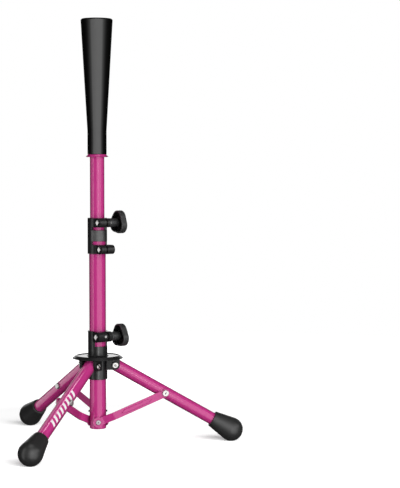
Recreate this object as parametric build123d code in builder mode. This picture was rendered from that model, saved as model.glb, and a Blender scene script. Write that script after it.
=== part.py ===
from build123d import *
from math import sin, cos, radians, sqrt
import os

# Batting tee: folding tripod, clamped telescopic mast, tapered rubber ball rest.
# Millimetres, +Z up, origin on the floor under the centre column.
# Leg 1 points along +X, legs 2 and 3 follow at 120 degree steps.
# Azimuths ("az") are degrees from +X. Names ending in _r are radii, or distances from an axis.

os.makedirs("parts", exist_ok=True)

# Fits and cutter lengths
snug = 0.02              # clearance of close fits
loose = 0.05             # clearance of sliding fits
pin_reach = 20.0         # half length of cutters for pins and leg bolts
bolt_reach = 30.0        # half length of cutters for clamp bolts
sector_reach = 60.0      # radius of the sector-shaped cutters

# Outer pole, end plug and cross pin
tube_r = 12.7
tube_wall = 1.2
tube_bore = tube_r - tube_wall
column_bottom = 23.0     # underside of the end plug
plug_rim = 2.2           # height of the visible plug rim
plug_bevel = 0.9
plug_tip_bevel = 1.0
plug_top = 53.0
tube_bottom = column_bottom + plug_rim
tube_top = 320.0
stop_pin_z = 49.8
stop_pin_r = 1.5
stop_pin_tip = 14.5      # tips stand this far from the axis

# Inner pole, foot bush and stop flange
pole_r = 11.0
pole_wall = 1.2
pole_bore = pole_r - pole_wall
pole_bottom = 151.0
pole_top = 480.0
bush_r = tube_bore - loose
bush_bore = 7.0
bush_drop = 6.0          # bush skirt below the pole end
bush_insert = 9.0        # bush inside the pole
flange_z = 439.9
flange_r = 17.2

# Ball rest
cone_bottom = 444.2
cone_taper_z = 479.7
cone_top = 650.0
cone_sock_r = 14.6
cone_neck_r = 8.5        # narrowest bore, just above the pole
cone_top_r = 24.5
cone_wall_top = 3.6

# Split clamps: ears and splits face ear_az, the bolts point along bolt_az
ear_az = -60.0
bolt_az = 30.0
clamp_r = 14.9
bolt_axis_r = 22.0       # bolt axis to column axis
ear_root_r = 11.0        # ears start here, inside the sleeve wall
split_root = 8.0         # split cutters start this far from the column axis
bolt_r = 2.95
bolt_hole_r = bolt_r + loose
bolt_head = 7.0          # width of the square head
head_t = 3.4
head_sunk = 1.4          # depth of the head in its pocket
pocket_w = bolt_head + 0.3

# Upper clamp, three bands: lowest and highest split, middle one a closed ring.
# "back" and "front" are the ear faces at the bolt head and at the other end.
low_bottom, low_top = 292.4, 306.3
mid_bottom, mid_top = 311.6, 328.3
high_bottom, high_top = 333.2, 347.1
low_z = (low_bottom + low_top) / 2
high_z = (high_bottom + high_top) / 2
upper_ear_r = (high_top - high_bottom) / 2
low_back, low_front = 9.6, 13.5
high_back, high_front = 12.6, 6.4
slit_half_angle = 66.0
upper_split = 2.5
upper_split_len = 34.0
split_overlap = 0.5      # splits run this far past the edges of the middle band
nut_seat = low_front - 4.2
nut_apothem = 4.55

# Hub
hub_bottom, hub_top = 99.4, 174.1
hub_bore = tube_r + loose
window_bottom, window_top = 150.3, 158.3
hub_ear_r = (hub_top - window_top) / 2
hub_ear_z = (hub_top + window_top) / 2
hub_back, hub_front = 16.0, 8.7
hub_split = 3.6
hub_split_shift = 1.2    # split moved towards the knob
hub_split_len = 36.0
flange_under, flange_top = 132.5, 135.1
hub_flange_r = 38.8
lip_top_r, lip_top = 33.5, 136.0

# Clevises and leg pivots
leg_az = (0.0, 120.0, 240.0)
pivot_r = 26.0
pivot_z = 121.7
ear_in, ear_out = 9.75, 14.0     # inner and outer faces of the clevis ears
ear_round = 7.1
clevis_root = -13.2      # column end of the ears, measured from the pivot
pin_r = 2.5
head_r = 5.0
pivot_head_t = 2.9
pivot_sunk = 0.5         # depth of heads and nuts in their counterbores
counterbore_cut = 3.0
pivot_tip = 0.8          # bolt end beyond the outer ear face
socket_depth = 1.6
slot_w = 1.2

# Legs and rubber feet, stations counted along the leg from the pivot
leg_angle = radians(29.9)        # legs below horizontal
leg_len = 208.3          # pivot to foot ball centre
leg_tube_r = 9.5
leg_wall = 1.2
leg_stub = 4.0           # tube end beyond the pivot
leg_end = 204.0          # tube end inside the rubber foot
brace_at = 89.6          # brace bolt
ball_r = 18.4
mouth_at = -34.0         # foot mouth, along the leg from the ball centre
mouth_r = 12.4
tangent = (-3.356, 18.091)       # straight side meets the ball here

# Braces, stations counted along the brace from its rivet
brace_len = 112.3
brace_w = 11.5
brace_t = 2.0
collar_face = tube_r + 0.1       # inner face of the bar at the column
leg_face = leg_tube_r + 0.1      # inner face of the bar at the leg
bulge = 3.4
bulge_end = 34.0
leg_bend = 98.0
rib_len, rib_w, rib_h = 52.0, 6.2, 0.9
rib_point = 7.0          # length of each pointed rib end
rib_shift = 2.5          # rib moved towards the column
brace_pt_r = pivot_r + brace_at * cos(leg_angle)
brace_pt_z = pivot_z - brace_at * sin(leg_angle)
rivet_z = brace_pt_z - sqrt(brace_len ** 2 - brace_pt_r ** 2)
brace_head_t = 2.4
brace_nut_t = 2.6
brace_bolt_tip = 1.6     # bolt end beyond the leg tube
rivet_r = 2.4
rivet_head_r = 3.9
rivet_head_t = 1.6

# Knobs
lobe_r = 12.2
lobe_at = 6.4            # lobe centre to bolt axis
knob_t = 10.0            # rim depth
knob_wall = 2.3
knob_face = 3.0          # thickness of the closed outer face
knob_neck = 12.6         # neck standing out behind the rim
knob_neck_r = 6.8
knob_boss_r = 5.6        # boss inside the rim
insert_r = 4.2
washer_r = 6.2
washer_t = 1.2
knob_bolt_len = 15.0     # clamp bolt beyond the washer


def direction(az):
    return Vector(cos(radians(az)), sin(radians(az)), 0)


along_bolt = Axis((0, 0, 0), direction(bolt_az))


def cross_plane(z, along, out=0.0):
    """Plane across the clamp bolts: local X to the ears, local Z along the bolt."""
    origin = direction(ear_az) * out + direction(bolt_az) * along
    return Plane(origin=(origin.X, origin.Y, z), x_dir=direction(ear_az),
                 z_dir=direction(bolt_az))


def bolt_plane(z, along):
    """Same directions, origin on the bolt axis."""
    return cross_plane(z, along, bolt_axis_r)


def side_plane(az, side, r, z):
    """Plane parallel to a leg's own plane: local X outward, local Y up,
    local Z to the brace side, moved out by side."""
    normal = direction(az - 90)
    origin = direction(az) * r + normal * side
    return Plane(origin=(origin.X, origin.Y, z), x_dir=direction(az), z_dir=normal)


def pivot_plane(az, side):
    return side_plane(az, side, pivot_r, pivot_z)


def brace_bolt_plane(az, side):
    return side_plane(az, side, brace_pt_r, brace_pt_z)


def side_axis(az):
    return Axis((0, 0, 0), direction(az - 90))


def leg_dir(az):
    outward = direction(az)
    return Vector(outward.X * cos(leg_angle), outward.Y * cos(leg_angle), -sin(leg_angle))


def leg_point(az, station):
    outward = direction(az)
    pivot = Vector(outward.X * pivot_r, outward.Y * pivot_r, pivot_z)
    return pivot + leg_dir(az) * station


def leg_cross_plane(az, station):
    """Plane square to the leg, local Z towards the foot."""
    return Plane(origin=leg_point(az, station), x_dir=direction(az - 90), z_dir=leg_dir(az))


def side_offsets(edge):
    """Distances of an edge to the brace side of each leg's plane."""
    return [(edge.center() - Vector(0, 0, pivot_z)).dot(direction(az - 90)) for az in leg_az]


def save(name, builder):
    builder.part.label = name
    export_step(builder.part, f"parts/{name}.step")


# ---------------------------------------------------------------------------
# Column
# ---------------------------------------------------------------------------
def make_outer_pole():
    with BuildPart() as pole:
        with BuildSketch(Plane.XY.offset(tube_bottom)):
            Circle(tube_r)
            Circle(tube_bore, mode=Mode.SUBTRACT)
        extrude(amount=tube_top - tube_bottom)
        # holes of the cross pin
        with BuildSketch(Plane.YZ):
            with Locations((0, stop_pin_z)):
                Circle(stop_pin_r + snug)
        extrude(amount=pin_reach, both=True, mode=Mode.SUBTRACT)
        chamfer(pole.edges().group_by(Axis.Z)[-1], length=0.3)
    save("outer_pole", pole)


def make_pole_end_plug():
    insert_r = tube_bore - snug
    with BuildPart() as plug:
        with BuildSketch(Plane.XZ):
            with BuildLine():
                Polyline(
                    (0, column_bottom),
                    (tube_r - plug_bevel, column_bottom),
                    (tube_r, column_bottom + plug_bevel),
                    (tube_r, tube_bottom),
                    (insert_r, tube_bottom),
                    (insert_r, plug_top - plug_tip_bevel),
                    (tube_bore - plug_tip_bevel, plug_top),
                    (0, plug_top),
                    close=True)
            make_face()
        revolve(axis=Axis.Z)
        with BuildSketch(Plane.YZ):
            with Locations((0, stop_pin_z)):
                Circle(stop_pin_r)
        extrude(amount=pin_reach, both=True, mode=Mode.SUBTRACT)
        # the edge between the rim's bevel and its side
        rim_edges = (plug.edges().filter_by(GeomType.CIRCLE)
                     .filter_by(lambda e: e.center().Z < column_bottom + 2
                                and e.radius > tube_r - 0.1))
        fillet(rim_edges, radius=0.6)
    save("pole_end_plug", plug)


def make_stop_pin():
    with BuildPart() as pin:
        with BuildSketch(Plane.YZ):
            with Locations((0, stop_pin_z)):
                Circle(stop_pin_r)
        extrude(amount=stop_pin_tip, both=True)
        chamfer(pin.edges().filter_by(GeomType.CIRCLE), length=0.4)
    save("stop_pin", pin)


# ---------------------------------------------------------------------------
# Upper clamp: three bands joined by a spine
# ---------------------------------------------------------------------------
def make_upper_clamp_body():
    # height of the bolt, back and front ear faces
    ears = ((low_z, low_back, low_front), (high_z, high_back, high_front))
    with BuildPart() as clamp:
        with BuildSketch(Plane.XY.offset(low_bottom)):
            Circle(clamp_r)
        extrude(amount=high_top - low_bottom)
        fillet(clamp.edges().group_by(Axis.Z)[-1], radius=0.6)
        for z, back, front in ears:
            with BuildSketch(cross_plane(z, -back)):
                with Locations(((bolt_axis_r + ear_root_r) / 2, 0)):
                    Rectangle(bolt_axis_r - ear_root_r, 2 * upper_ear_r)
                with Locations((bolt_axis_r, 0)):
                    Circle(upper_ear_r)
            extrude(amount=back + front)
        # bores: outer pole below, inner pole above
        for bore_r, bore_top in ((tube_r + snug, tube_top), (pole_r + loose, high_top)):
            with BuildSketch(Plane.XY.offset(low_bottom)):
                Circle(bore_r)
            extrude(amount=bore_top - low_bottom, mode=Mode.SUBTRACT)
        # slits between the bands
        for bottom, top in ((low_top, mid_bottom), (mid_top, high_bottom)):
            with BuildSketch(Plane.XY.offset(bottom)):
                with BuildLine():
                    first = Line((0, 0), direction(ear_az - slit_half_angle) * sector_reach)
                    last = Line((0, 0), direction(ear_az + slit_half_angle) * sector_reach)
                    ThreePointArc(first @ 1, direction(ear_az) * sector_reach, last @ 1)
                make_face()
            extrude(amount=top - bottom, mode=Mode.SUBTRACT)
        # vertical splits of the lower and upper bands
        for bottom, top in ((low_bottom, mid_bottom - split_overlap),
                            (mid_top + split_overlap, high_top)):
            with BuildSketch(Plane.XY.offset(bottom)):
                with Locations(direction(ear_az) * (split_root + upper_split_len / 2)):
                    Rectangle(upper_split_len, upper_split, rotation=ear_az)
            extrude(amount=top - bottom, mode=Mode.SUBTRACT)
        # bolt holes
        for z in (low_z, high_z):
            with BuildSketch(bolt_plane(z, -bolt_reach)):
                Circle(bolt_hole_r)
            extrude(amount=2 * bolt_reach, mode=Mode.SUBTRACT)
        # square pockets for the bolt heads
        for z, back, front in ears:
            with BuildSketch(bolt_plane(z, -back)):
                Rectangle(pocket_w, pocket_w, rotation=45)
            extrude(amount=head_sunk, mode=Mode.SUBTRACT)
        # hexagon pocket for the nut of the lower band
        with BuildSketch(bolt_plane(low_z, nut_seat)):
            RegularPolygon(nut_apothem + loose, 6, major_radius=False)
        extrude(amount=6, mode=Mode.SUBTRACT)
    save("upper_clamp_body", clamp)


def make_clamp_bolt(name, z, back, tip):
    """Square-headed bolt seated in the pocket of the back ear face."""
    seat = -back + head_sunk
    with BuildPart() as bolt:
        with BuildSketch(bolt_plane(z, seat - head_t)):
            Rectangle(bolt_head, bolt_head, rotation=45)
        extrude(amount=head_t)
        chamfer(bolt.faces().sort_by(along_bolt)[0].edges(), length=0.6)
        with BuildSketch(bolt_plane(z, seat)):
            Circle(bolt_r)
        extrude(amount=tip - seat)
    save(name, bolt)


def make_clamp_fixing_nut():
    with BuildPart() as nut:
        with BuildSketch(bolt_plane(low_z, nut_seat)):
            RegularPolygon(nut_apothem, 6, major_radius=False)
            Circle(bolt_r + snug, mode=Mode.SUBTRACT)
        extrude(amount=3.8)
    save("clamp_fixing_nut", nut)


# ---------------------------------------------------------------------------
# Hub: sleeve, split clamp, flange with a raised lip, three clevises
# ---------------------------------------------------------------------------
def make_hub_body():
    with BuildPart() as hub:
        with BuildSketch(Plane.XY.offset(hub_bottom)):
            Circle(clamp_r)
        extrude(amount=hub_top - hub_bottom)
        fillet(hub.edges().filter_by(GeomType.CIRCLE), radius=0.6)
        # flange with a sharp edge
        with BuildSketch(Plane.XZ):
            with BuildLine():
                Polyline(
                    (clamp_r - 1.5, flange_under),
                    (hub_flange_r - 8.3, flange_under),
                    (hub_flange_r - 4.8, flange_under - 1.7),
                    (hub_flange_r - 3.0, flange_under - 1.7),
                    (hub_flange_r, flange_under - 0.9),
                    (hub_flange_r, flange_under - 0.3),
                    (lip_top_r + 0.4, lip_top - 0.3),
                    (lip_top_r - 0.2, lip_top),
                    (lip_top_r - 0.9, lip_top),
                    (lip_top_r - 1.8, flange_top),
                    (clamp_r + 2.0, flange_top),
                    (clamp_r, flange_top + 1.6),
                    (clamp_r - 1.5, flange_top + 1.6),
                    close=True)
            make_face()
        revolve(axis=Axis.Z)
        # clevis ears, two per leg, rising 0.5 into the flange
        ear_top = flange_under - pivot_z + 0.5
        for az in leg_az:
            for side in (-ear_out, ear_in):
                with BuildSketch(pivot_plane(az, side)):
                    with BuildLine():
                        Polyline((ear_round, 0), (ear_round, ear_top), (clevis_root, ear_top),
                                 (clevis_root, -ear_round), (0, -ear_round))
                        ThreePointArc(
                            (0, -ear_round),
                            (ear_round * sin(radians(45)), -ear_round * cos(radians(45))),
                            (ear_round, 0))
                    make_face()
                extrude(amount=ear_out - ear_in)
        # clamp ears
        with BuildSketch(cross_plane(hub_ear_z, -hub_back)):
            with Locations(((bolt_axis_r + ear_root_r) / 2, 0)):
                Rectangle(bolt_axis_r - ear_root_r, 2 * hub_ear_r)
            with Locations((bolt_axis_r, 0)):
                Circle(hub_ear_r)
        extrude(amount=hub_back + hub_front)
        # bore
        with BuildSketch(Plane.XY.offset(hub_bottom)):
            Circle(hub_bore)
        extrude(amount=hub_top - hub_bottom, mode=Mode.SUBTRACT)
        # window under the clamp band
        with BuildSketch(Plane.XY.offset(window_bottom)):
            with BuildLine():
                first = Line((0, 0), direction(ear_az - 50) * sector_reach)
                last = Line((0, 0), direction(ear_az + 66) * sector_reach)
                ThreePointArc(first @ 1, direction(ear_az) * sector_reach, last @ 1)
            make_face()
        extrude(amount=window_top - window_bottom, mode=Mode.SUBTRACT)
        # vertical split of the clamp band
        split_centre = (direction(ear_az) * (split_root + hub_split_len / 2)
                        + direction(bolt_az) * hub_split_shift)
        with BuildSketch(Plane.XY.offset(window_bottom)):
            with Locations(split_centre):
                Rectangle(hub_split_len, hub_split, rotation=ear_az)
        extrude(amount=hub_top - window_bottom + 1, mode=Mode.SUBTRACT)
        # clamp bolt hole and head pocket
        with BuildSketch(bolt_plane(hub_ear_z, -bolt_reach)):
            Circle(bolt_hole_r)
        extrude(amount=2 * bolt_reach, mode=Mode.SUBTRACT)
        with BuildSketch(bolt_plane(hub_ear_z, -hub_back)):
            Rectangle(pocket_w, pocket_w, rotation=45)
        extrude(amount=head_sunk, mode=Mode.SUBTRACT)
        # leg pivot holes with counterbores
        for az in leg_az:
            with BuildSketch(pivot_plane(az, -pin_reach)):
                Circle(pin_r + snug)
            extrude(amount=2 * pin_reach, mode=Mode.SUBTRACT)
            for side in (ear_out - pivot_sunk, -ear_out + pivot_sunk - counterbore_cut):
                with BuildSketch(pivot_plane(az, side)):
                    Circle(head_r + 0.6)
                extrude(amount=counterbore_cut, mode=Mode.SUBTRACT)
    save("hub_body", hub)


def make_leg_pivot_bolts():
    """Three button-head bolts with a hexagon socket on the brace side."""
    head_seat = ear_out - pivot_sunk
    with BuildPart() as bolts:
        for az in leg_az:
            with BuildSketch(pivot_plane(az, head_seat)):
                Circle(head_r)
            extrude(amount=pivot_head_t)
            with BuildSketch(pivot_plane(az, -ear_out - pivot_tip)):
                Circle(pin_r)
            extrude(amount=2 * ear_out - pivot_sunk + pivot_tip)
        head_edges = (bolts.edges().filter_by(GeomType.CIRCLE)
                      .filter_by(lambda e: e.radius > 4))
        outer_rims = [e for e in head_edges if max(side_offsets(e)) > ear_out]
        fillet(outer_rims, radius=1.5)
        for az in leg_az:
            with BuildSketch(pivot_plane(az, head_seat + pivot_head_t - socket_depth)):
                RegularPolygon(1.6, 6, major_radius=False)
            extrude(amount=3, mode=Mode.SUBTRACT)
    save("leg_pivot_bolts", bolts)


def make_leg_pivot_nuts():
    """Three slotted cap nuts on the side away from the braces."""
    nut_face = -ear_out + pivot_sunk - pivot_head_t
    with BuildPart() as nuts:
        for az in leg_az:
            with BuildSketch(pivot_plane(az, nut_face)):
                Circle(head_r)
            extrude(amount=pivot_head_t)
        outer_rims = [e for e in nuts.edges().filter_by(GeomType.CIRCLE)
                      if min(side_offsets(e)) < -ear_out]
        fillet(outer_rims, radius=1.5)
        for az in leg_az:
            with BuildSketch(pivot_plane(az, -ear_out - pivot_tip - snug)):
                Circle(pin_r + snug)
            extrude(amount=3, mode=Mode.SUBTRACT)
            # slot 1 deep, cut from 0.5 outside the face
            with BuildSketch(pivot_plane(az, nut_face - 0.5)):
                Rectangle(12, slot_w, rotation=35)
            extrude(amount=1.5, mode=Mode.SUBTRACT)
    save("leg_pivot_nuts", nuts)


# ---------------------------------------------------------------------------
# Legs, feet, braces
# ---------------------------------------------------------------------------
def make_leg_tube(number, az):
    with BuildPart() as tube:
        with BuildSketch(leg_cross_plane(az, -leg_stub)):
            Circle(leg_tube_r)
            Circle(leg_tube_r - leg_wall, mode=Mode.SUBTRACT)
        extrude(amount=leg_end + leg_stub)
        with BuildSketch(pivot_plane(az, -pin_reach)):
            Circle(pin_r + loose)
        extrude(amount=2 * pin_reach, mode=Mode.SUBTRACT)
        with BuildSketch(brace_bolt_plane(az, -pin_reach)):
            Circle(pin_r + snug)
        extrude(amount=2 * pin_reach, mode=Mode.SUBTRACT)
    save(f"leg_tube_{number}", tube)


def make_rubber_foot(number, az):
    ball = leg_point(az, leg_len)
    socket_start = leg_len + mouth_at - 1    # 1 outside the mouth
    # outline points: along the leg from the ball centre, radius
    mouth_edge = (mouth_at, mouth_r - 0.7)
    mouth_round = (mouth_at + 0.22, mouth_r - 0.18)
    mouth_side = (mouth_at + 0.8, mouth_r + 0.16)
    ball_mid = (ball_r * sin(radians(40)), ball_r * cos(radians(40)))
    with BuildPart() as foot:
        with BuildSketch(Plane(origin=ball, x_dir=leg_dir(az), z_dir=direction(az - 90))):
            with BuildLine():
                Line((mouth_at, 0), mouth_edge)
                ThreePointArc(mouth_edge, mouth_round, mouth_side)
                Line(mouth_side, tangent)
                ThreePointArc(tangent, ball_mid, (ball_r, 0))
                Line((ball_r, 0), (mouth_at, 0))
            make_face()
        revolve(axis=Axis(ball, leg_dir(az)))
        # socket for the tube
        with BuildSketch(leg_cross_plane(az, socket_start)):
            Circle(leg_tube_r)
        extrude(amount=leg_end - socket_start, mode=Mode.SUBTRACT)
        # flat patch on the floor
        split(bisect_by=Plane.XY, keep=Keep.TOP)
    save(f"rubber_foot_{number}", foot)


def make_brace_bolt(number, az):
    head_at = leg_face + brace_t
    with BuildPart() as bolt:
        with BuildSketch(brace_bolt_plane(az, head_at)):
            Circle(head_r)
        extrude(amount=brace_head_t)
        fillet(bolt.faces().sort_by(side_axis(az))[-1].edges(), radius=0.9)
        with BuildSketch(brace_bolt_plane(az, -leg_tube_r - brace_bolt_tip)):
            Circle(pin_r)
        extrude(amount=head_at + leg_tube_r + brace_bolt_tip)
        # short slot in the head
        with BuildSketch(brace_bolt_plane(az, head_at + brace_head_t / 2)):
            Rectangle(3.4, slot_w, rotation=60)
        extrude(amount=3, mode=Mode.SUBTRACT)
    save(f"brace_bolt_{number}", bolt)


def make_brace_nut(number, az):
    with BuildPart() as nut:
        with BuildSketch(brace_bolt_plane(az, -leg_tube_r - brace_nut_t)):
            Circle(head_r - 0.2)
        extrude(amount=brace_nut_t)
        fillet(nut.faces().sort_by(side_axis(az))[0].edges(), radius=0.9)
        with BuildSketch(brace_bolt_plane(az, -leg_tube_r - brace_bolt_tip - snug)):
            Circle(pin_r + snug)
        extrude(amount=3, mode=Mode.SUBTRACT)
    save(f"brace_nut_{number}", nut)


def brace_dir(az):
    """Unit vector from the rivet up to the brace bolt."""
    outward = direction(az)
    return Vector(outward.X * brace_pt_r, outward.Y * brace_pt_r,
                  brace_pt_z - rivet_z).normalized()


def brace_face_plane(az):
    """Inner face of the bar at the rivet: local X along the brace, local Z to its side."""
    face = direction(az - 90) * collar_face
    return Plane(origin=(face.X, face.Y, rivet_z), x_dir=brace_dir(az),
                 z_dir=direction(az - 90))


def make_brace_link(number, az):
    """Cranked strip, cut to its outline, with a tapered rib."""
    side = direction(az - 90)
    along = brace_dir(az)
    across = (Vector(0, 0, 1) - along * along.Z).normalized()
    strip_plane = Plane(origin=(0, 0, rivet_z), x_dir=along, z_dir=across)
    face_plane = brace_face_plane(az)
    # inner face of the strip: station along the brace, distance from the leg's plane
    inner = [
        (-12.0, collar_face), (9.0, collar_face),
        (26.0, collar_face + bulge), (bulge_end, collar_face + bulge),
        (leg_bend, leg_face), (brace_len + 9.0, leg_face),
    ]
    # outer face of the straight part, between the bulge and the leg end
    slope_start = along * bulge_end + side * (collar_face + bulge + brace_t)
    slope_end = along * leg_bend + side * (leg_face + brace_t)
    slope = (slope_end - slope_start).normalized()
    rib_centre = Vector(0, 0, rivet_z) + (slope_start + slope_end) * 0.5 - slope * rib_shift
    rib_plane = Plane(origin=rib_centre, x_dir=slope, z_dir=slope.cross(across))
    rib_shoulder = rib_len / 2 - rib_point
    with BuildPart() as link:
        with BuildSketch(strip_plane):
            with BuildLine():
                # local Y of this plane points away from the brace side
                outline = [(x, -y) for x, y in inner]
                outline += [(x, -(y + brace_t)) for x, y in reversed(inner)]
                Polyline(*outline, close=True)
            make_face()
        extrude(amount=9.0, both=True)
        # outline: round ends joined by a straight bar
        with BuildSketch(face_plane.offset(-6)):
            Circle(8.0)
            with Locations((brace_len, 0)):
                Circle(brace_w / 2 + 0.6)
            with Locations((brace_len / 2, 0)):
                Rectangle(brace_len, brace_w)
        extrude(amount=18, mode=Mode.INTERSECT)
        # lozenge rib along the straight part
        with BuildSketch(rib_plane):
            with BuildLine():
                Polyline((-rib_len / 2, 0), (-rib_shoulder, -rib_w / 2),
                         (rib_shoulder, -rib_w / 2), (rib_len / 2, 0),
                         (rib_shoulder, rib_w / 2), (-rib_shoulder, rib_w / 2), close=True)
            make_face()
        extrude(amount=rib_h, taper=38)
        # rivet and bolt holes
        with BuildSketch(face_plane.offset(-8)):
            with Locations((0, 0)):
                Circle(rivet_r + snug)
            with Locations((brace_len, 0)):
                Circle(pin_r + loose)
        extrude(amount=20, mode=Mode.SUBTRACT)
    save(f"brace_link_{number}", link)


def make_brace_rivet(number, az):
    face_plane = brace_face_plane(az)
    with BuildPart() as rivet:
        with BuildSketch(face_plane):
            Circle(rivet_r)
        extrude(amount=brace_t)
        with BuildSketch(face_plane.offset(brace_t)):
            Circle(rivet_head_r)
        extrude(amount=rivet_head_t)
        fillet(rivet.faces().sort_by(side_axis(az))[-1].edges(), radius=0.9)
        # dimple 0.5 deep in the head
        with BuildSketch(face_plane.offset(brace_t + rivet_head_t - 0.5)):
            Circle(1.2)
        extrude(amount=2, mode=Mode.SUBTRACT)
    save(f"brace_rivet_{number}", rivet)


# ---------------------------------------------------------------------------
# Inner mast and ball rest
# ---------------------------------------------------------------------------
def make_inner_pole():
    with BuildPart() as pole:
        with BuildSketch(Plane.XY.offset(pole_bottom)):
            Circle(pole_r)
            Circle(pole_bore, mode=Mode.SUBTRACT)
        extrude(amount=pole_top - pole_bottom)
    save("inner_pole", pole)


def make_inner_pole_foot_bush():
    with BuildPart() as bush:
        with BuildSketch(Plane.XY.offset(pole_bottom - bush_drop)):
            Circle(bush_r)
        extrude(amount=bush_drop)
        chamfer(bush.edges().group_by(Axis.Z)[0], length=0.8)
        with BuildSketch(Plane.XY.offset(pole_bottom)):
            Circle(pole_bore - snug)
        extrude(amount=bush_insert)
        with BuildSketch(Plane.XY.offset(pole_bottom - bush_drop)):
            Circle(bush_bore)
        extrude(amount=bush_drop + bush_insert, mode=Mode.SUBTRACT)
    save("inner_pole_foot_bush", bush)


def make_pole_stop_flange():
    with BuildPart() as flange:
        with BuildSketch(Plane.XZ):
            with BuildLine():
                Polyline(
                    (pole_r + snug, flange_z),
                    (flange_r - 2.0, flange_z),
                    (flange_r, flange_z + 0.7),
                    (flange_r - 0.3, flange_z + 1.3),
                    (cone_sock_r - 0.6, cone_bottom),
                    (pole_r + snug, cone_bottom),
                    close=True)
            make_face()
        revolve(axis=Axis.Z)
    save("pole_stop_flange", flange)


def make_ball_rest_cone():
    with BuildPart() as cone:
        with BuildSketch(Plane.XZ):
            with BuildLine():
                Polyline(
                    (pole_r + snug, cone_bottom),
                    (cone_sock_r, cone_bottom),
                    (cone_sock_r, cone_taper_z),
                    (cone_top_r, cone_top),
                    (cone_top_r - cone_wall_top, cone_top),
                    (pole_r + 0.4, pole_top + 12.0),
                    (cone_neck_r, pole_top + 6.0),
                    (cone_neck_r, pole_top),
                    (pole_r + snug, pole_top),
                    close=True)
            make_face()
        revolve(axis=Axis.Z)
        rim = cone.edges().filter_by(GeomType.CIRCLE).group_by(Axis.Z)[-1]
        rim = rim.sort_by(SortBy.RADIUS)
        fillet(rim[-1], radius=2.8)
        chamfer(rim[0], length=0.6)
        base = cone.edges().filter_by(GeomType.CIRCLE).group_by(Axis.Z)[0]
        fillet(base.sort_by(SortBy.RADIUS)[-1], radius=0.5)
    save("ball_rest_cone", cone)


# ---------------------------------------------------------------------------
# Knobs: rounded triangular rim open to the back, neck with a threaded insert
# ---------------------------------------------------------------------------
def make_knob_set(name, z, front, turn):
    """Washer, knob and insert on the bolt at height z, against the front ear face."""
    seat = front + washer_t
    rim_plane = bolt_plane(z, seat + knob_neck)
    with BuildPart() as washer:
        with BuildSketch(bolt_plane(z, front)):
            Circle(washer_r)
            Circle(bolt_hole_r + loose, mode=Mode.SUBTRACT)
        extrude(amount=washer_t)
    save(f"{name}_washer", washer)

    with BuildPart() as knob:
        with BuildSketch(rim_plane):
            with PolarLocations(lobe_at, 3, start_angle=turn + 90):
                Circle(lobe_r)
            make_hull()
        extrude(amount=knob_t)
        fillet(knob.faces().sort_by(along_bolt)[-1].edges(), radius=2.2)
        fillet(knob.faces().sort_by(along_bolt)[0].edges(), radius=0.8)
        # hollow of the rim
        with BuildSketch(rim_plane):
            with PolarLocations(lobe_at, 3, start_angle=turn + 90):
                Circle(lobe_r - knob_wall)
            make_hull()
        extrude(amount=knob_t - knob_face, mode=Mode.SUBTRACT)
        # neck, then the boss inside the rim
        for radius, length in ((knob_neck_r, knob_neck + 0.6),
                               (knob_boss_r, knob_neck + knob_t - 2.0)):
            with BuildSketch(bolt_plane(z, seat)):
                Circle(radius)
            extrude(amount=length)
        # bore for the insert
        with BuildSketch(bolt_plane(z, seat)):
            Circle(insert_r)
        extrude(amount=knob_neck + 5.0, mode=Mode.SUBTRACT)
    save(name, knob)

    with BuildPart() as insert:
        with BuildSketch(bolt_plane(z, seat + 0.4)):
            Circle(insert_r)
            Circle(bolt_r + loose, mode=Mode.SUBTRACT)
        extrude(amount=12.0)
    save(f"{name}_insert", insert)


make_outer_pole()
make_pole_end_plug()
make_stop_pin()

make_upper_clamp_body()
make_clamp_bolt("clamp_fixing_bolt", low_z, low_back, tip=low_front + 0.4)
make_clamp_fixing_nut()
make_clamp_bolt("upper_clamp_bolt", high_z, high_back,
                tip=high_front + washer_t + knob_bolt_len)

make_hub_body()
make_clamp_bolt("hub_clamp_bolt", hub_ear_z, hub_back,
                tip=hub_front + washer_t + knob_bolt_len)
make_leg_pivot_bolts()
make_leg_pivot_nuts()

for number, az in enumerate(leg_az, start=1):
    make_leg_tube(number, az)
    make_rubber_foot(number, az)
    make_brace_bolt(number, az)
    make_brace_nut(number, az)
    make_brace_link(number, az)
    make_brace_rivet(number, az)

make_inner_pole()
make_inner_pole_foot_bush()
make_pole_stop_flange()
make_ball_rest_cone()

make_knob_set("upper_knob", high_z, high_front, turn=190.0)
make_knob_set("hub_knob", hub_ear_z, hub_front, turn=180.0)
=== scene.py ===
"""Pink three-legged stand with a black rubber ball rest, on a pale floor.

Metres, +Z up. The column stands on the Z axis and the floor is z = 0. The front is -Y,
where the camera stands, and +X is to its right. Azimuths run anticlockwise from +X.
"""
import bpy
import bmesh
import math
from fnmatch import fnmatchcase
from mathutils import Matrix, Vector


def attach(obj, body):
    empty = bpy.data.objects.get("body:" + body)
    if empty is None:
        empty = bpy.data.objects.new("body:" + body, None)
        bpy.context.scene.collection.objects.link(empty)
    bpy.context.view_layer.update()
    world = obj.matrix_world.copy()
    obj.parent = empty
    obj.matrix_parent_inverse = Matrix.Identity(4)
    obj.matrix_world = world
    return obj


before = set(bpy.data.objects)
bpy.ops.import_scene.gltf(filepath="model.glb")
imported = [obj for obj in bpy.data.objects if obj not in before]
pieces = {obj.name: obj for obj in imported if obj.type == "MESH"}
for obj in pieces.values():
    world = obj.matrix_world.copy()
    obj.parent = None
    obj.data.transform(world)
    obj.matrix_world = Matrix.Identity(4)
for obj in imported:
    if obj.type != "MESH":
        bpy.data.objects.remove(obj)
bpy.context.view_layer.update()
scene = bpy.context.scene

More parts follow.
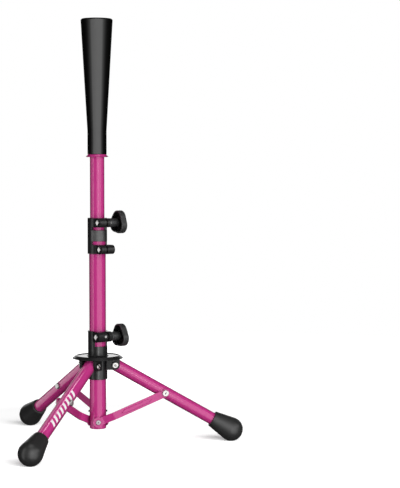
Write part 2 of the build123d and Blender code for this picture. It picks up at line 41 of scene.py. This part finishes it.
# camera, in radians where it is an angle
CAMERA_TURN = math.radians(2.33)        # round the column, to the left of straight in front
CAMERA_AZIMUTH = math.radians(-90.0) - CAMERA_TURN
CAMERA_DISTANCE = 2.44286
CAMERA_HEIGHT = 0.43337
CAMERA_PAN = 0.0644                     # to the right of the column
CAMERA_DIP = 0.0518                     # below level
CAMERA_LENS = 117.562869                # mm
CAMERA_SENSOR = 36.0                    # mm

# front left leg, which carries the printed bars
LEG_AZIMUTH = math.radians(240)
LEG_SLOPE = math.radians(29.9)          # below level
LEG_PIVOT_RADIUS = 0.026                # from the column axis
LEG_PIVOT_HEIGHT = 0.1217

# slanted bars wrapped part of the way round the leg
BAR_COUNT = 8
BAR_START = 0.0700                      # first bar, along the leg from its pivot
BAR_PITCH = 0.0100
BAR_WIDTH = 0.0048
BAR_LEAN = 0.0040                       # shift along the leg from one end of a bar to the other
BAR_ANGLES = (28.0, 84.0)               # degrees round the leg from its top
BAR_RADII = (0.00951, 0.00956)          # underside and face, from the leg axis
BAR_STEPS = 10

FLOOR_RADIUS = 1.6
FLOOR_SEGMENTS = 96

NOISE_RANGE = (0.3, 0.7)                # where most values of a noise texture lie


def around_column(radius, azimuth, height):
    return Vector((radius * math.cos(azimuth), radius * math.sin(azimuth), height))


def direction(azimuth, elevation):
    level = math.cos(elevation)
    return Vector((math.cos(azimuth) * level, math.sin(azimuth) * level, math.sin(elevation)))


def scaled(colour, factor):
    return tuple(channel * factor for channel in colour)


def grey(value):
    return (value, value, value)


# ---------------------------------------------------------------------------
# node graphs: the methods take numbers, colours or sockets and return sockets
# ---------------------------------------------------------------------------
class Graph:
    def __init__(self, owner):
        owner.use_nodes = True
        self.tree = owner.node_tree
        self.tree.nodes.clear()

    def feed(self, socket, value):
        """links a socket into the input, or sets its value"""
        if isinstance(value, bpy.types.NodeSocket):
            self.tree.links.new(value, socket)
        elif socket.type == "RGBA":
            socket.default_value = (*value, 1)
        else:
            socket.default_value = value

    def add(self, kind, inputs=None, **properties):
        node = self.tree.nodes.new(kind)
        for key, value in properties.items():
            setattr(node, key, value)
        for key, value in (inputs or {}).items():
            self.feed(node.inputs[key], value)
        return node

    def span(self, value, source, to=(0.0, 1.0)):
        """maps the source range onto another, clamped"""
        node = self.add("ShaderNodeMapRange", {
            "From Min": source[0], "From Max": source[1],
            "To Min": to[0], "To Max": to[1], "Value": value})
        return node.outputs["Result"]

    def calc(self, operation, first, second, clamp=False):
        node = self.add("ShaderNodeMath", {0: first, 1: second},
                        operation=operation, use_clamp=clamp)
        return node.outputs["Value"]

    def multiply(self, first, second, clamp=False):
        return self.calc("MULTIPLY", first, second, clamp)

    def one_minus(self, value):
        return self.calc("SUBTRACT", 1.0, value)

    def axes(self, vector):
        """X, Y and Z outputs of a vector"""
        return self.add("ShaderNodeSeparateXYZ", {0: vector}).outputs


class Material(Graph):
    def __init__(self, name):
        self.material = bpy.data.materials.new(name)
        super().__init__(self.material)
        output = self.add("ShaderNodeOutputMaterial")
        self.bsdf = self.add("ShaderNodeBsdfPrincipled")
        self.feed(output.inputs["Surface"], self.bsdf.outputs["BSDF"])
        self.place = self.add("ShaderNodeTexCoord").outputs["Object"]

    def surface(self, inputs):
        """feeds the principled shader and returns the finished material"""
        for key, value in inputs.items():
            self.feed(self.bsdf.inputs[key], value)
        return self.material

    def stretched(self, scale):
        node = self.add("ShaderNodeMapping", {"Scale": scale, "Vector": self.place})
        return node.outputs["Vector"]

    def noise(self, scale, detail, roughness=0.55, vector=None, distortion=0.0):
        node = self.add("ShaderNodeTexNoise", {
            "Scale": scale, "Detail": detail, "Roughness": roughness,
            "Distortion": distortion, "Vector": vector or self.place})
        return node.outputs["Fac"]

    def ramp(self, value, stops):
        """stops: (position, colour)"""
        node = self.add("ShaderNodeValToRGB", {"Fac": value})
        elements = node.color_ramp.elements
        while len(elements) > 1:
            elements.remove(elements[-1])
        elements[0].position = stops[0][0]
        elements[0].color = (*stops[0][1], 1)
        for position, colour in stops[1:]:
            elements.new(position).color = (*colour, 1)
        return node.outputs["Color"]

    def mix(self, factor, first, second, blend="MIX"):
        # of the mix node's many sockets, 6, 7 and output 2 are the colour ones
        node = self.add("ShaderNodeMix", {0: factor, 6: first, 7: second},
                        data_type="RGBA", blend_type=blend)
        return node.outputs[2]

    def length(self, vector):
        node = self.add("ShaderNodeVectorMath", {0: vector}, operation="LENGTH")
        return node.outputs["Value"]

    def facing(self):
        """0 facing the viewer, 1 edge on"""
        return self.add("ShaderNodeLayerWeight", {"Blend": 0.5}).outputs["Facing"]

    def soft_normal(self, radius):
        """normal with hard edges rounded"""
        return self.add("ShaderNodeBevel", {"Radius": radius}, samples=4).outputs["Normal"]

    def edge_mask(self, radius, source):
        """1 near sharp edges, 0 on faces: rounded normal against the true one"""
        soft = self.soft_normal(radius)
        true = self.add("ShaderNodeNewGeometry").outputs["Normal"]
        dot = self.add("ShaderNodeVectorMath", {0: soft, 1: true}, operation="DOT_PRODUCT")
        return self.span(self.one_minus(dot.outputs["Value"]), source)

    def openness(self, distance, source, samples):
        """0 in hollows, 1 in the open"""
        node = self.add("ShaderNodeAmbientOcclusion", {"Distance": distance},
                        samples=samples, only_local=True)
        return self.span(node.outputs["AO"], source)

    def bump(self, height, strength, distance, normal=None):
        inputs = {"Strength": strength, "Distance": distance, "Height": height}
        if normal is not None:
            inputs["Normal"] = normal
        return self.add("ShaderNodeBump", inputs).outputs["Normal"]


# ---------------------------------------------------------------------------
# materials
# ---------------------------------------------------------------------------
PINK = (0.50, 0.036, 0.215)
PINK_FLAKE = (0.58, 0.08, 0.29)
PINK_SIDE_SHADE = (0.26, 0.014, 0.100)    # painted shade where the paint turns away from the viewer
PINK_WORN = (0.66, 0.24, 0.44)


def pink_paint(name, edges=False):
    """glossy powder coat: faint flake, painted shade on the sides turned away from the viewer,
    orange peel, handling marks;
    edges: sharp edges are rounded in shading and worn paler"""
    paint = Material(name)
    broad = paint.noise(scale=7.0, detail=2.0)
    fine = paint.noise(scale=1500.0, detail=1.0)
    scuff = paint.noise(scale=45.0, detail=4.0, roughness=0.6,
                        vector=paint.stretched((1, 1, 0.3)), distortion=0.4)
    colour = paint.mix(paint.span(broad, NOISE_RANGE), scaled(PINK, 0.97), scaled(PINK, 1.03))
    colour = paint.mix(paint.span(fine, (0.4, 0.7), to=(0.0, 0.05)), colour, PINK_FLAKE)
    # painted shade: the paint is darkened where it turns away from the viewer
    side_shade = paint.span(paint.facing(), (0.30, 0.90), to=(0.0, 0.95))
    colour = paint.mix(side_shade, colour, PINK_SIDE_SHADE)
    if edges:
        mask = paint.edge_mask(radius=0.0005, source=(0.06, 0.4))
        patches = paint.span(scuff, (0.45, 0.6), to=(0.15, 0.6))
        colour = paint.mix(paint.multiply(mask, patches, clamp=True), colour, PINK_WORN)
    peel = paint.noise(scale=300.0, detail=1.0)
    soft = paint.soft_normal(0.0004) if edges else None
    return paint.surface({
        "Base Color": colour,
        "Metallic": 0.0,
        "IOR": 1.5,
        "Specular Tint": (1.0, 0.80, 0.90),
        "Roughness": paint.span(scuff, (0.3, 0.75), to=(0.11, 0.16)),
        "Normal": paint.bump(peel, strength=0.006, distance=0.0003, normal=soft)})


def black_rubber(name, facing_shade, value, roughness, grain, specular):
    """moulded matt rubber: fine grain, faint dust, paler edges, and painted shade darkening it
    towards its outline
    facing_shade: (facing, share of the grey value) of that painted shade, 0 facing the viewer"""
    rubber = Material(name)
    broad = rubber.noise(scale=16.0, detail=3.0)
    fine = rubber.noise(scale=grain, detail=2.0)
    # painted shade: darker towards the outline, by how far the surface turns from the viewer
    shade = rubber.ramp(rubber.facing(), [(at, grey(share * value)) for at, share in facing_shade])
    dust = rubber.mix(rubber.span(broad, (0.35, 0.7)), grey(0.94), (1.05, 1.05, 1.04))
    colour = rubber.mix(1.0, shade, dust, blend="MULTIPLY")
    pale_edge = rubber.multiply(rubber.edge_mask(radius=0.0009, source=(0.05, 0.4)), 0.12)
    return rubber.surface({
        "Base Color": rubber.mix(pale_edge, colour, grey(0.10)),
        "Roughness": rubber.span(broad, NOISE_RANGE, to=(roughness - 0.04, roughness + 0.04)),
        "IOR": 1.5,
        "Specular IOR Level": specular,
        "Normal": rubber.bump(fine, strength=0.10, distance=0.0002,
                              normal=rubber.soft_normal(0.0008))})


def add_ring(nylon, colour, broad, bottom, top, value):
    """paler band between two heights, all but its far left, darkened by painted shade towards
    its outline
    """
    fade = 0.0003
    position = nylon.axes(nylon.place)
    above = nylon.span(position["Z"], (bottom - fade, bottom + fade))
    below = nylon.span(position["Z"], (top + fade, top - fade))
    right = nylon.span(position["X"], (-0.0105, -0.0095))
    mask = nylon.multiply(nylon.multiply(above, below), right)
    # painted shade: the band darkens towards its outline
    ring = nylon.ramp(nylon.facing(), [
        (0.0, grey(value)), (0.17, grey(value)),
        (0.30, grey(value * 0.55)), (0.45, grey(value * 0.3))])
    ring = nylon.mix(nylon.span(broad, NOISE_RANGE), ring, grey(0.8), blend="MULTIPLY")
    return nylon.mix(mask, colour, ring)


def add_pin_end(nylon, colour, broad, centre, radius):
    """steel pin end flush with the skin"""
    fade = 0.0002
    away = nylon.add("ShaderNodeVectorMath", {0: nylon.place, 1: centre}, operation="DISTANCE")
    spot = nylon.span(away.outputs["Value"], (radius + fade, radius - fade))
    plate = nylon.ramp(broad, [(0.3, grey(0.34)), (0.7, (0.46, 0.45, 0.44))])
    return nylon.mix(spot, colour, plate)


def dulled_specular(nylon, specular, radius, upward):
    """weakens the shine of steep and downward faces outside a radius from the Z axis"""
    position = nylon.axes(nylon.place)
    flat = nylon.add("ShaderNodeCombineXYZ", {"X": position["X"], "Y": position["Y"]})
    distance = nylon.length(flat.outputs["Vector"])
    inside = nylon.span(distance, (radius + 0.0006, radius))
    steep = nylon.span(upward, (0.55, 0.25))
    dull = nylon.multiply(nylon.one_minus(inside), steep)
    return nylon.multiply(nylon.one_minus(nylon.multiply(dull, 0.75)), specular)


def black_nylon(name, value, roughness, grain=900.0, bump=0.12, edge_gain=3.5,
                edge_reach=0.0005, edge_wear_and_highlight=0.45, ring=None, pin=None,
                dull_from=None, painted_shade_reach=None):
    """moulded nylon: satin skin, fine spark texture, paler edges, partly wear and partly painted
    highlight
    ring, pin: arguments of add_ring and add_pin_end
    dull_from: radius outside which steep faces are dull; level tops are then smooth
    painted_shade_reach: distance over which painted shade darkens the hollows"""
    nylon = Material(name)
    specular = 0.42
    broad = nylon.noise(scale=35.0, detail=3.0)
    fine = nylon.noise(scale=grain, detail=3.0, roughness=0.6)
    colour = nylon.ramp(broad, [
        (0.3, (value * 0.8, value * 0.8, value * 0.84)), (0.7, grey(value * 1.25))])
    rough = nylon.span(fine, NOISE_RANGE, to=(roughness - 0.05, roughness + 0.06))
    height = fine
    if ring:
        colour = add_ring(nylon, colour, broad, **ring)
    # paler edges: wear, and on the knobs a painted highlight on the rim
    pale_edge = nylon.multiply(nylon.edge_mask(edge_reach, source=(0.03, 0.3)), edge_wear_and_highlight)
    colour = nylon.mix(pale_edge, colour, grey(value * edge_gain))
    if pin:
        colour = add_pin_end(nylon, colour, broad, **pin)
    if dull_from:
        geometry = nylon.add("ShaderNodeNewGeometry")
        upward = nylon.axes(geometry.outputs["True Normal"])["Z"]
        textured = nylon.one_minus(nylon.span(upward, (0.90, 0.99)))
        rough = nylon.calc("ADD", nylon.multiply(rough, textured), 0.06)
        height = nylon.multiply(height, textured)
        specular = dulled_specular(nylon, specular, dull_from, upward)
    # painted shade: hollows darkened in colour and shine
    if painted_shade_reach:
        clear_of_painted_shade = nylon.openness(painted_shade_reach, source=(0.30, 0.85), samples=6)
        specular = nylon.multiply(clear_of_painted_shade, specular)
        colour = nylon.mix(clear_of_painted_shade, grey(value * 0.25), colour)
    return nylon.surface({
        "Base Color": colour,
        "Roughness": rough,
        "IOR": 1.5,
        "Specular IOR Level": specular,
        "Normal": nylon.bump(height, strength=bump, distance=0.0002,
                             normal=nylon.soft_normal(0.0006))})


def zinc_steel(name, base, roughness):
    """zinc plated steel: cloudy plating, faint turning marks, painted shade in recesses"""
    steel = Material(name)
    broad = steel.noise(scale=160.0, detail=3.0)
    lines = steel.noise(scale=500.0, detail=2.0, roughness=0.6,
                        vector=steel.stretched((4, 1, 4)))
    plating = steel.ramp(broad, [(0.3, scaled(base, 0.80)), (0.7, scaled(base, 1.1))])
    # painted shade: darker in recesses
    clear_of_painted_shade = steel.openness(distance=0.0016, source=(0.62, 0.98), samples=4)
    return steel.surface({
        "Base Color": steel.mix(clear_of_painted_shade, grey(0.02), plating),
        "Metallic": 1.0,
        "Roughness": steel.span(lines, NOISE_RANGE, to=(roughness - 0.04, roughness + 0.06)),
        "Normal": steel.bump(lines, strength=0.03, distance=0.0001,
                             normal=steel.soft_normal(0.0004))})


def pale_floor():
    """white floor that glows more strongly away from the stand"""
    paper = Material("pale_floor")
    cloud = paper.noise(scale=3.0, detail=2.0)
    distance = paper.length(paper.place)
    return paper.surface({
        "Base Color": paper.ramp(cloud, [(0.3, grey(0.80)), (0.7, grey(0.83))]),
        "Roughness": 0.9,
        "IOR": 1.2,
        "Specular IOR Level": 0.0,
        "Emission Color": grey(1),
        "Emission Strength": paper.span(distance, (0.38, 0.75), to=(0.36, 1.2))})


def white_print():
    """white ink with some pink showing through"""
    ink = Material("white_print")
    worn = ink.noise(scale=220.0, detail=4.0, roughness=0.65)
    colour = ink.ramp(worn, [
        (0.30, (0.74, 0.60, 0.67)), (0.42, (0.86, 0.84, 0.85)), (0.8, grey(0.90))])
    grain = ink.noise(scale=1400.0, detail=1.0)
    return ink.surface({
        "Base Color": colour,
        "Roughness": 0.35,
        "IOR": 1.45,
        "Normal": ink.bump(grain, strength=0.05, distance=0.0001)})


# painted shade of the rubber: (facing, share of the grey value), 0 facing the viewer
REST_FACING_SHADE = [
    (0.0, 1.0), (0.06, 0.92), (0.085, 0.60), (0.11, 0.38), (0.15, 0.22),
    (0.20, 0.085), (0.27, 0.03), (0.5, 0.012)]
FOOT_FACING_SHADE = [(0.0, 1.0), (0.04, 0.80), (0.12, 0.60), (0.30, 0.50), (0.9, 0.60)]

tube_paint = pink_paint("pink_paint_tube")
bar_paint = pink_paint("pink_paint_bar", edges=True)
rest_rubber = black_rubber("rubber_ball_rest", REST_FACING_SHADE, value=0.114, roughness=0.5,
                           grain=1500.0, specular=0.06)
foot_rubber = black_rubber("rubber_foot", FOOT_FACING_SHADE, value=0.046, roughness=0.34,
                           grain=1200.0, specular=0.40)
hub_nylon = black_nylon("nylon_hub", value=0.013, roughness=0.25, bump=0.08, dull_from=0.0185,
                        pin={"centre": (0.0115, -0.0278, 0.1671), "radius": 0.0018})
clamp_nylon = black_nylon("nylon_clamp", value=0.014, roughness=0.34, bump=0.1,
                          ring={"bottom": 0.3116, "top": 0.3283, "value": 0.085})
# knobs: the strong pale edges are a painted highlight on the rim, and painted shade darkens the
# hollow underneath
knob_nylon = black_nylon("nylon_knob", value=0.026, roughness=0.36, grain=1100.0, bump=0.10,
                         edge_gain=9.0, edge_reach=0.0013, edge_wear_and_highlight=0.9, painted_shade_reach=0.016)
guide_nylon = black_nylon("nylon_guide", value=0.03, roughness=0.45, grain=600.0, bump=0.1)
plain_steel = zinc_steel("zinc_steel", base=(0.50, 0.49, 0.48), roughness=0.27)
# rivets: the faint pink in their grey is a painted reflection of the pink paint around them
rivet_steel = zinc_steel("zinc_rivet", base=(0.40, 0.36, 0.38), roughness=0.34)
insert_steel = zinc_steel("insert_steel", base=(0.62, 0.60, 0.56), roughness=0.3)
black_pin = black_nylon("black_steel_pin", value=0.012, roughness=0.35)

# name patterns of the pieces and their material; the first match counts
FINISHES = [
    (("outer_pole", "inner_pole", "pole_end_plug", "pole_stop_flange", "leg_tube*"), tube_paint),
    (("brace_link*",), bar_paint),
    (("ball_rest_cone",), rest_rubber),
    (("rubber_foot*",), foot_rubber),
    (("hub_body",), hub_nylon),
    (("upper_clamp_body",), clamp_nylon),
    (("upper_knob", "hub_knob"), knob_nylon),
    (("brace_rivet*",), rivet_steel),
    (("*_insert",), insert_steel),
    (("inner_pole_foot_bush",), guide_nylon),
    (("stop_pin",), black_pin),
    (("*",), plain_steel),
]


def finish_for(name):
    for patterns, material in FINISHES:
        if any(fnmatchcase(name, pattern) for pattern in patterns):
            return material


for name, piece in pieces.items():
    finish = finish_for(name)
    if not piece.material_slots:
        piece.data.materials.append(finish)
    for slot in piece.material_slots:
        slot.material = finish


# ---------------------------------------------------------------------------
# floor and world
# ---------------------------------------------------------------------------
def build_floor():
    """disc seen by the camera only, so it neither lights nor shades the stand"""
    mesh = bpy.data.meshes.new("floor")
    bm = bmesh.new()
    bmesh.ops.create_circle(bm, cap_ends=True, segments=FLOOR_SEGMENTS, radius=FLOOR_RADIUS)
    bm.to_mesh(mesh)
    bm.free()
    disc = bpy.data.objects.new("floor", mesh)
    scene.collection.objects.link(disc)
    mesh.materials.append(pale_floor())
    disc.visible_diffuse = False
    disc.visible_glossy = False
    disc.visible_transmission = False
    disc.visible_shadow = False
    return disc


def build_world():
    """white to the camera; to all else dim, with a bright patch low behind the stand"""
    world = bpy.data.worlds.new("studio")
    scene.world = world
    sky = Graph(world)
    output = sky.add("ShaderNodeOutputWorld")
    camera_ray = sky.add("ShaderNodeLightPath").outputs["Is Camera Ray"]
    backdrop = sky.add("ShaderNodeBackground", {"Color": grey(1), "Strength": 1.0})
    fill = sky.add("ShaderNodeBackground")
    view = sky.axes(sky.add("ShaderNodeTexCoord").outputs["Generated"])
    above = sky.span(view["Z"], (0.085, 0.115))
    below = sky.span(view["Z"], (0.36, 0.30))
    behind = sky.span(view["Y"], (0.80, 0.92))
    patch = sky.multiply(sky.multiply(above, behind), below)
    sky.feed(fill.inputs["Strength"], sky.span(patch, (0.0, 1.0), to=(0.03, 1.8)))
    mixed = sky.add("ShaderNodeMixShader", {
        "Fac": camera_ray, 1: fill.outputs[0], 2: backdrop.outputs[0]})
    sky.feed(output.inputs["Surface"], mixed.outputs[0])


floor = build_floor()
build_world()

# ---------------------------------------------------------------------------
# bars printed on the front left leg
# ---------------------------------------------------------------------------
leg_axis = direction(LEG_AZIMUTH, -LEG_SLOPE)
leg_pivot = around_column(LEG_PIVOT_RADIUS, LEG_AZIMUTH, LEG_PIVOT_HEIGHT)
leg_side = Vector((0, 0, 1)).cross(leg_axis).normalized()    # level, across the leg to its right
leg_up = leg_axis.cross(leg_side).normalized()


def add_leg_bar(bm, start):
    """thin curved bar that starts this far down the leg"""
    inner, outer = BAR_RADII
    first_angle, last_angle = BAR_ANGLES
    sections = []
    for step in range(BAR_STEPS + 1):
        part = step / BAR_STEPS
        angle = math.radians(first_angle + (last_angle - first_angle) * part)
        outward = leg_up * math.cos(angle) + leg_side * math.sin(angle)
        near = start + BAR_LEAN * part
        far = start + BAR_WIDTH + BAR_LEAN * part
        corners = ((near, inner), (far, inner), (far, outer), (near, outer))
        sections.append([bm.verts.new(leg_pivot + leg_axis * along + outward * radius)
                         for along, radius in corners])
    for this, after in zip(sections, sections[1:]):
        for j in range(4):
            k = (j + 1) % 4
            bm.faces.new((this[j], this[k], after[k], after[j]))
    bm.faces.new(sections[0][::-1])
    bm.faces.new(sections[-1])


def build_leg_bars():
    mesh = bpy.data.meshes.new("leg_bars")
    bm = bmesh.new()
    for i in range(BAR_COUNT):
        add_leg_bar(bm, BAR_START + BAR_PITCH * i)
    bmesh.ops.recalc_face_normals(bm, faces=bm.faces)
    bm.to_mesh(mesh)
    bm.free()
    leg_bars = bpy.data.objects.new("leg_bars", mesh)
    scene.collection.objects.link(leg_bars)
    mesh.materials.append(white_print())
    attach(leg_bars, "leg_3")


build_leg_bars()


# ---------------------------------------------------------------------------
# lights
# ---------------------------------------------------------------------------
def finished_in(*materials):
    return [piece for piece in pieces.values() if piece.material_slots[0].material in materials]


def only(name, objects):
    """a light linking collection of just these objects"""
    collection = bpy.data.collections.new(name)
    for item in objects:
        collection.objects.link(item)
    return collection


def excluding(name, objects):
    """a light linking collection that leaves these objects out"""
    collection = only(name, objects)
    for entry in collection.collection_objects:
        entry.light_linking.link_state = "EXCLUDE"
    return collection


def softbox(name, azimuth, distance, height, aim_height, width, tall, radiance, lit, casters):
    """rectangular light aimed at the column, to the right of the camera by azimuth degrees"""
    light = bpy.data.lights.new(name, "AREA")
    light.shape = "RECTANGLE"
    light.size = width
    light.size_y = tall
    light.energy = radiance * math.pi * width * tall
    box = bpy.data.objects.new(name, light)
    box.location = around_column(distance, CAMERA_AZIMUTH + math.radians(azimuth), height)
    aim = Vector((0, 0, aim_height)) - box.location
    box.rotation_euler = aim.to_track_quat("-Z", "Y").to_euler()
    scene.collection.objects.link(box)
    box.light_linking.receiver_collection = lit
    if casters:
        box.light_linking.blocker_collection = casters
    return box


steel_pieces = finished_in(plain_steel, insert_steel, rivet_steel)
legs = [pieces[f"leg_tube_{i}"] for i in (1, 2, 3)]

only_floor = only("only_floor", [floor])
only_steel = only("only_steel", steel_pieces)
not_floor = excluding("not_floor", [floor])
no_steel = excluding("no_steel", [floor, pieces["ball_rest_cone"]] + steel_pieces)
only_hub = only("only_hub", [pieces["hub_body"]])
painted = only("painted", finished_in(tube_paint, bar_paint))
back_leg = only("back_leg", [legs[1]])
left_leg = only("left_leg", [legs[2]])
leg_tubes = only("leg_tubes", legs)
feet_cast = only("feet_cast", [pieces[f"rubber_foot_{i}"] for i in (1, 2, 3)])

# name, degrees right of the camera, distance from the column, height, height aimed at,
# width, tall, radiance, what it lights, what casts shadows in it (None: everything)
SOFTBOXES = [
    ("key_right", 27.0, 2.0, 0.35, 0.35, 2.8, 3.4, 2.2, not_floor, None),
    ("key_high_right", 74.0, 2.0, 0.95, 0.95, 1.1, 1.0, 1.8, no_steel, None),
    ("core_right", 17.0, 2.1, 0.46, 0.3, 0.16, 0.50, 6.5, no_steel, None),
    ("core_hub", 10.5, 2.1, 0.10, 0.10, 0.10, 0.8, 30.0, only_hub, None),
    ("strip_left", -63.0, 2.0, 0.35, 0.35, 0.60, 3.4, 2.3, not_floor, None),
    ("wide_left", -88.0, 2.0, 0.35, 0.35, 1.3, 2.6, 0.9, painted, None),
    ("top", 20.0, 0.5, 2.4, 0.2, 1.2, 1.2, 2.0, not_floor, None),
    ("left_back", -118.0, 1.8, -0.25, 0.05, 1.2, 1.9, 1.9, back_leg, None),
    ("back_left_high", -150.0, 1.2, 1.6, 0.1, 1.0, 1.0, 1.5, leg_tubes, None),
    ("overhead", 120.0, 0.553, 2.4, 0.1, 0.34, 0.34, 14.0, left_leg, left_leg),
    ("steel_left", -115.0, 1.6, 0.5, 0.35, 1.4, 1.6, 1.35, only_steel, None),
    ("steel_right", 92.0, 1.6, 0.4, 0.15, 1.4, 1.6, 2.0, only_steel, None),
    ("behind", 180.0, 2.0, 0.35, 0.35, 0.5, 3.2, 9.0, not_floor, None),
    ("floor_key", 22.0, 1.9, 1.0, 0.0, 2.8, 1.7, 9.0, only_floor, feet_cast),
]
softboxes = {row[0]: softbox(*row) for row in SOFTBOXES}
softboxes["behind"].visible_glossy = False


# ---------------------------------------------------------------------------
# camera
# ---------------------------------------------------------------------------
def build_camera():
    lens = bpy.data.cameras.new("camera")
    lens.sensor_width = CAMERA_SENSOR
    lens.lens = CAMERA_LENS
    lens.clip_start = 0.05
    camera = bpy.data.objects.new("camera", lens)
    camera.location = around_column(CAMERA_DISTANCE, CAMERA_AZIMUTH, CAMERA_HEIGHT)
    forward = direction(math.radians(90.0) - CAMERA_PAN - CAMERA_TURN, -CAMERA_DIP)
    camera.rotation_euler = forward.to_track_quat("-Z", "Y").to_euler()
    scene.collection.objects.link(camera)
    scene.camera = camera


build_camera()
scene.view_settings.view_transform = "Standard"
scene.view_settings.look = "None"
